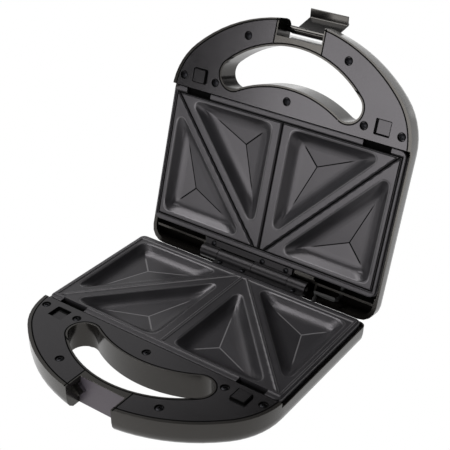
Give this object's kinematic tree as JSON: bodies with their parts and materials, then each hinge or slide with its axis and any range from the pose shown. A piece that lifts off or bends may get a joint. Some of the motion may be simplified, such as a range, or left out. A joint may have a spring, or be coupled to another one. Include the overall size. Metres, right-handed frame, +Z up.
{
  "type": "sandwich toaster",
  "caption": "Open countertop sandwich toaster: two hinged black halves with triangular cooking pockets, hand holes in the handles and a swinging latch clip.",
  "frame": {"origin": "on the surface it stands on, under the middle of the open object's box", "axes": "+Z up, -Y towards the handles, +X to the right seen from the handles; the hinge axis runs along X"},
  "size_m": [0.2312, 0.3198, 0.2438],
  "materials": {
    "black_shell": "gloss",
    "black_cover": "satin",
    "nonstick": "satin",
    "screw_steel": "satin",
    "hinge_steel": "satin",
    "sheet": "satin",
    "tube": "matt",
    "rubber": "matt",
    "cream_plastic": "matt",
    "lead_sheath": "matt",
    "lead_brown": "matt",
    "board_green": "satin",
    "lamp_glass": "clear",
    "lens_red": "clear",
    "lens_green": "clear",
    "can_metal": "satin"
  },
  "bodies": {
    "base": {"base_shell": "black_shell", "base_handle_cover": "black_cover", "base_cover_screws": "screw_steel", "lower_plate": "nonstick", "lower_plate_screws": "screw_steel", "lower_element": "tube", "lower_element_clamps": "sheet", "lower_reflector": "sheet", "base_hinge_leaf": "black_cover", "base_hinge_screws": "hinge_steel", "hinge_pin": "hinge_steel", "thermostat": "can_metal", "thermal_fuse": "cream_plastic", "terminal_block": "cream_plastic", "supply_bush": "rubber", "supply_leads": "lead_brown", "thermostat_lead": "cream_plastic", "base_link_lead": "lead_sheath", "rubber_feet": "rubber"},
    "lid": {"lid_shell": "black_shell", "lid_handle_cover": "black_cover", "lid_cover_screws": "screw_steel", "upper_plate": "nonstick", "upper_plate_screws": "screw_steel", "upper_element": "tube", "upper_element_clamps": "sheet", "upper_reflector": "sheet", "lid_hinge_leaf": "black_cover", "lid_hinge_screws": "hinge_steel", "lid_link_lead": "lead_sheath", "lamp_board": "board_green", "power_lamp": "lamp_glass", "ready_lamp": "lamp_glass", "power_lens": "lens_red", "ready_lens": "lens_green", "latch_pin": "hinge_steel"},
    "clip": {"latch_clip": "black_cover"}
  },
  "joints": [
    {"name": "lid_hinge", "type": "hinge", "parent": "base", "child": "lid", "pos_m": [0, 0.0555, 0.038], "axis": [1, 0, 0], "range_deg": [0, 105.1]},
    {"name": "latch_swing", "type": "hinge", "parent": "lid", "child": "clip", "pos_m": [0, 0.12696, 0.23105], "axis": [1, 0, 0], "range_deg": [0, 153.4]}
  ]
}
